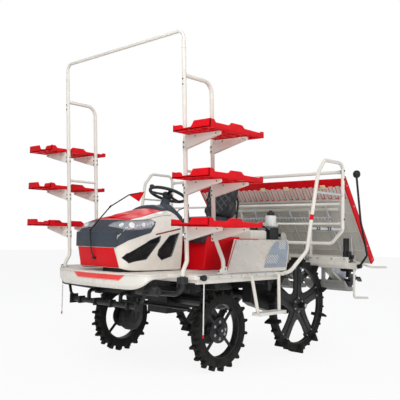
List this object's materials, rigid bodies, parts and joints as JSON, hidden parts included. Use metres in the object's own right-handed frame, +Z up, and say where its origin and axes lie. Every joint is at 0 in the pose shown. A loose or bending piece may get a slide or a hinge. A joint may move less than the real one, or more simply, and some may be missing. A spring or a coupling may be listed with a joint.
{
  "type": "rice transplanter",
  "caption": "Riding rice transplanter on lugged wheels with seedling racks, handrails and a raised planting unit carrying a sloping seedling platform.",
  "frame": {"origin": "on the ground, under the middle of the machine's length and width", "axes": "+Z up, -Y forward (the way it drives), +X the driver's left"},
  "size_m": [2.298, 3.1454, 2.6374],
  "materials": {
    "cream_paint": "semi-gloss cream paint",
    "red_paint": "semi-gloss red paint",
    "black_paint": "satin black paint",
    "iron": "plain cast iron",
    "seat_vinyl": "black seat vinyl over foam",
    "charcoal_plastic": "charcoal moulded plastic",
    "black_plastic": "black moulded plastic",
    "lamp_lens": "clear headlight lens over a bright reflector",
    "steel_rod": "bright steel",
    "red_plastic": "red moulded plastic",
    "grey_plastic": "grey moulded plastic",
    "cream_plastic": "cream moulded plastic",
    "wheel_rubber": "black rubber moulded on a steel wheel"
  },
  "bodies": {
    "chassis": {"chassis_frame": "black_paint", "engine_block": "iron", "front_axle_case": "black_paint", "rear_axle_case": "black_paint", "front_bumper": "black_paint", "floor_deck": "cream_paint", "fender_left": "cream_paint", "fender_right": "cream_paint", "seat_base": "red_paint", "rear_body": "cream_paint", "seat": "seat_vinyl", "dash_column": "charcoal_plastic", "ladder_left": "cream_paint", "ladder_right": "cream_paint", "rack_frame_left": "cream_paint", "rack_frame_right": "cream_paint", "rack_top_bar": "cream_paint", "seedling_shelf_left_top": "red_plastic", "seedling_shelf_left_middle": "red_plastic", "seedling_shelf_left_bottom": "red_plastic", "seedling_shelf_right_top": "red_plastic", "seedling_shelf_right_middle": "red_plastic", "seedling_shelf_right_bottom": "red_plastic", "handrail_left": "cream_paint", "handrail_right": "cream_paint", "guard_rail_bottom": "cream_paint", "guard_rail_middle": "cream_paint", "guard_rail_top": "cream_paint"},
    "bonnet_lid": {"bonnet": "cream_paint", "headlight_left": "lamp_lens", "headlight_right": "lamp_lens"},
    "guide_mast": {"guide_mast": "black_paint"},
    "steering_wheel": {"steering_wheel": "black_plastic"},
    "knuckle_left": {"knuckle_left": "black_paint"},
    "knuckle_right": {"knuckle_right": "black_paint"},
    "tie_rod": {"tie_rod": "black_paint"},
    "front_wheel_left": {"front_wheel_left": "wheel_rubber"},
    "front_wheel_right": {"front_wheel_right": "wheel_rubber"},
    "rear_wheel_left": {"rear_wheel_left": "wheel_rubber"},
    "rear_wheel_right": {"rear_wheel_right": "wheel_rubber"},
    "side_marker_left": {"side_marker_left": "steel_rod"},
    "side_marker_right": {"side_marker_right": "steel_rod"},
    "lower_link": {"lower_link": "black_paint"},
    "upper_link": {"upper_link": "black_paint"},
    "lift_barrel": {"lift_cylinder_barrel": "black_paint"},
    "lift_rod": {"lift_cylinder_rod": "steel_rod"},
    "planter": {"planter_frame": "cream_paint", "float_left": "grey_plastic", "float_centre": "grey_plastic", "float_right": "grey_plastic"},
    "platform": {"seedling_platform": "cream_plastic", "platform_upper_board": "red_plastic"},
    "rotor_left": {"planting_rotor_left": "black_paint"},
    "rotor_centre": {"planting_rotor_centre": "black_paint"},
    "rotor_right": {"planting_rotor_right": "black_paint"},
    "line_marker_left": {"line_marker_left": "black_paint"},
    "line_marker_right": {"line_marker_right": "black_paint"}
  },
  "joints": [
    {"name": "bonnet_hinge", "type": "hinge", "parent": "chassis", "child": "bonnet_lid", "pos_m": [0, -1.4555, 0.818], "axis": [1, 0, 0], "range_deg": [0, 45]},
    {"name": "guide_mast_fold", "type": "hinge", "parent": "bonnet_lid", "child": "guide_mast", "pos_m": [-0.03, -1.5195, 0.9], "axis": [1, 0, 0], "range_deg": [0, 35]},
    {"name": "steer_left", "type": "hinge", "parent": "chassis", "child": "knuckle_left", "pos_m": [0.47, -0.7275, 0.49], "axis": [0, 0, 1], "range_deg": [-45, 45]},
    {"name": "steer_right", "type": "hinge", "parent": "chassis", "child": "knuckle_right", "pos_m": [-0.47, -0.7275, 0.49], "axis": [0, 0, 1], "range_deg": [-45, 45]},
    {"name": "steering_wheel_turn", "type": "hinge", "parent": "chassis", "child": "steering_wheel", "pos_m": [0, -0.7475, 1.45], "axis": [0, 0.342, 0.9397], "range_deg": [-360, 360]},
    {"name": "tie_rod_slide", "type": "slide", "parent": "chassis", "child": "tie_rod", "axis": [1, 0, 0], "range_m": [-0.122, 0.122]},
    {"name": "front_wheel_left_spin", "type": "hinge", "parent": "knuckle_left", "child": "front_wheel_left", "pos_m": [0.61, -0.7275, 0.325], "axis": [1, 0, 0], "continuous": true},
    {"name": "front_wheel_right_spin", "type": "hinge", "parent": "knuckle_right", "child": "front_wheel_right", "pos_m": [-0.61, -0.7275, 0.325], "axis": [1, 0, 0], "continuous": true},
    {"name": "rear_wheel_left_spin", "type": "hinge", "parent": "chassis", "child": "rear_wheel_left", "pos_m": [0.607, 0.4125, 0.45], "axis": [1, 0, 0], "continuous": true},
    {"name": "rear_wheel_right_spin", "type": "hinge", "parent": "chassis", "child": "rear_wheel_right", "pos_m": [-0.607, 0.4125, 0.45], "axis": [1, 0, 0], "continuous": true},
    {"name": "side_marker_left_fold", "type": "hinge", "parent": "chassis", "child": "side_marker_left", "pos_m": [0.882, -1.2175, 0.7825], "axis": [0, -1, 0], "range_deg": [0, 90]},
    {"name": "side_marker_right_fold", "type": "hinge", "parent": "chassis", "child": "side_marker_right", "pos_m": [-0.882, -1.2175, 0.7825], "axis": [0, 1, 0], "range_deg": [0, 90]},
    {"name": "planter_lift", "type": "hinge", "parent": "chassis", "child": "lower_link", "pos_m": [0, 0.3525, 0.6], "axis": [-1, 0, 0], "range_deg": [0, 60]},
    {"name": "upper_link_turn", "type": "hinge", "parent": "chassis", "child": "upper_link", "pos_m": [0, 0.3525, 0.86], "axis": [-1, 0, 0], "range_deg": [0, 60]},
    {"name": "lift_barrel_turn", "type": "hinge", "parent": "chassis", "child": "lift_barrel", "pos_m": [0, 0.1325, 0.38], "axis": [-1, 0, 0], "range_deg": [0, 21.9]},
    {"name": "lift_rod_slide", "type": "slide", "parent": "lift_barrel", "child": "lift_rod", "axis": [0, 0.8553, 0.5181], "range_m": [-0.138, 0]},
    {"name": "planter_level", "type": "hinge", "parent": "lower_link", "child": "planter", "pos_m": [0, 0.78551, 0.85], "axis": [-1, 0, 0], "range_deg": [-60, 0]},
    {"name": "platform_shift", "type": "slide", "parent": "planter", "child": "platform", "axis": [1, 0, 0], "range_m": [-0.14, 0.14]},
    {"name": "rotor_left_spin", "type": "hinge", "parent": "planter", "child": "rotor_left", "pos_m": [0.6, 1.2625, 0.65], "axis": [1, 0, 0], "continuous": true},
    {"name": "rotor_centre_spin", "type": "hinge", "parent": "planter", "child": "rotor_centre", "pos_m": [0, 1.2625, 0.65], "axis": [1, 0, 0], "continuous": true},
    {"name": "rotor_right_spin", "type": "hinge", "parent": "planter", "child": "rotor_right", "pos_m": [-0.6, 1.2625, 0.65], "axis": [1, 0, 0], "continuous": true},
    {"name": "line_marker_left_fold", "type": "hinge", "parent": "planter", "child": "line_marker_left", "pos_m": [1, 0.90251, 0.82], "axis": [0, 1, 0], "range_deg": [0, 95]},
    {"name": "line_marker_right_fold", "type": "hinge", "parent": "planter", "child": "line_marker_right", "pos_m": [-1, 0.90251, 0.82], "axis": [0, -1, 0], "range_deg": [0, 95]}
  ],
  "couplings": [
    {"joint": "steer_right", "follows": "steer_left", "ratio": 1},
    {"joint": "steering_wheel_turn", "follows": "steer_left", "ratio": 8},
    {"joint": "tie_rod_slide", "follows": "steer_left", "m_per_rad": 0.155},
    {"joint": "upper_link_turn", "follows": "planter_lift", "ratio": 1},
    {"joint": "planter_level", "follows": "planter_lift", "ratio": -1},
    {"joint": "lift_barrel_turn", "follows": "planter_lift", "ratio": 0.36321},
    {"joint": "lift_rod_slide", "follows": "planter_lift", "m_per_rad": -0.13134}
  ]
}
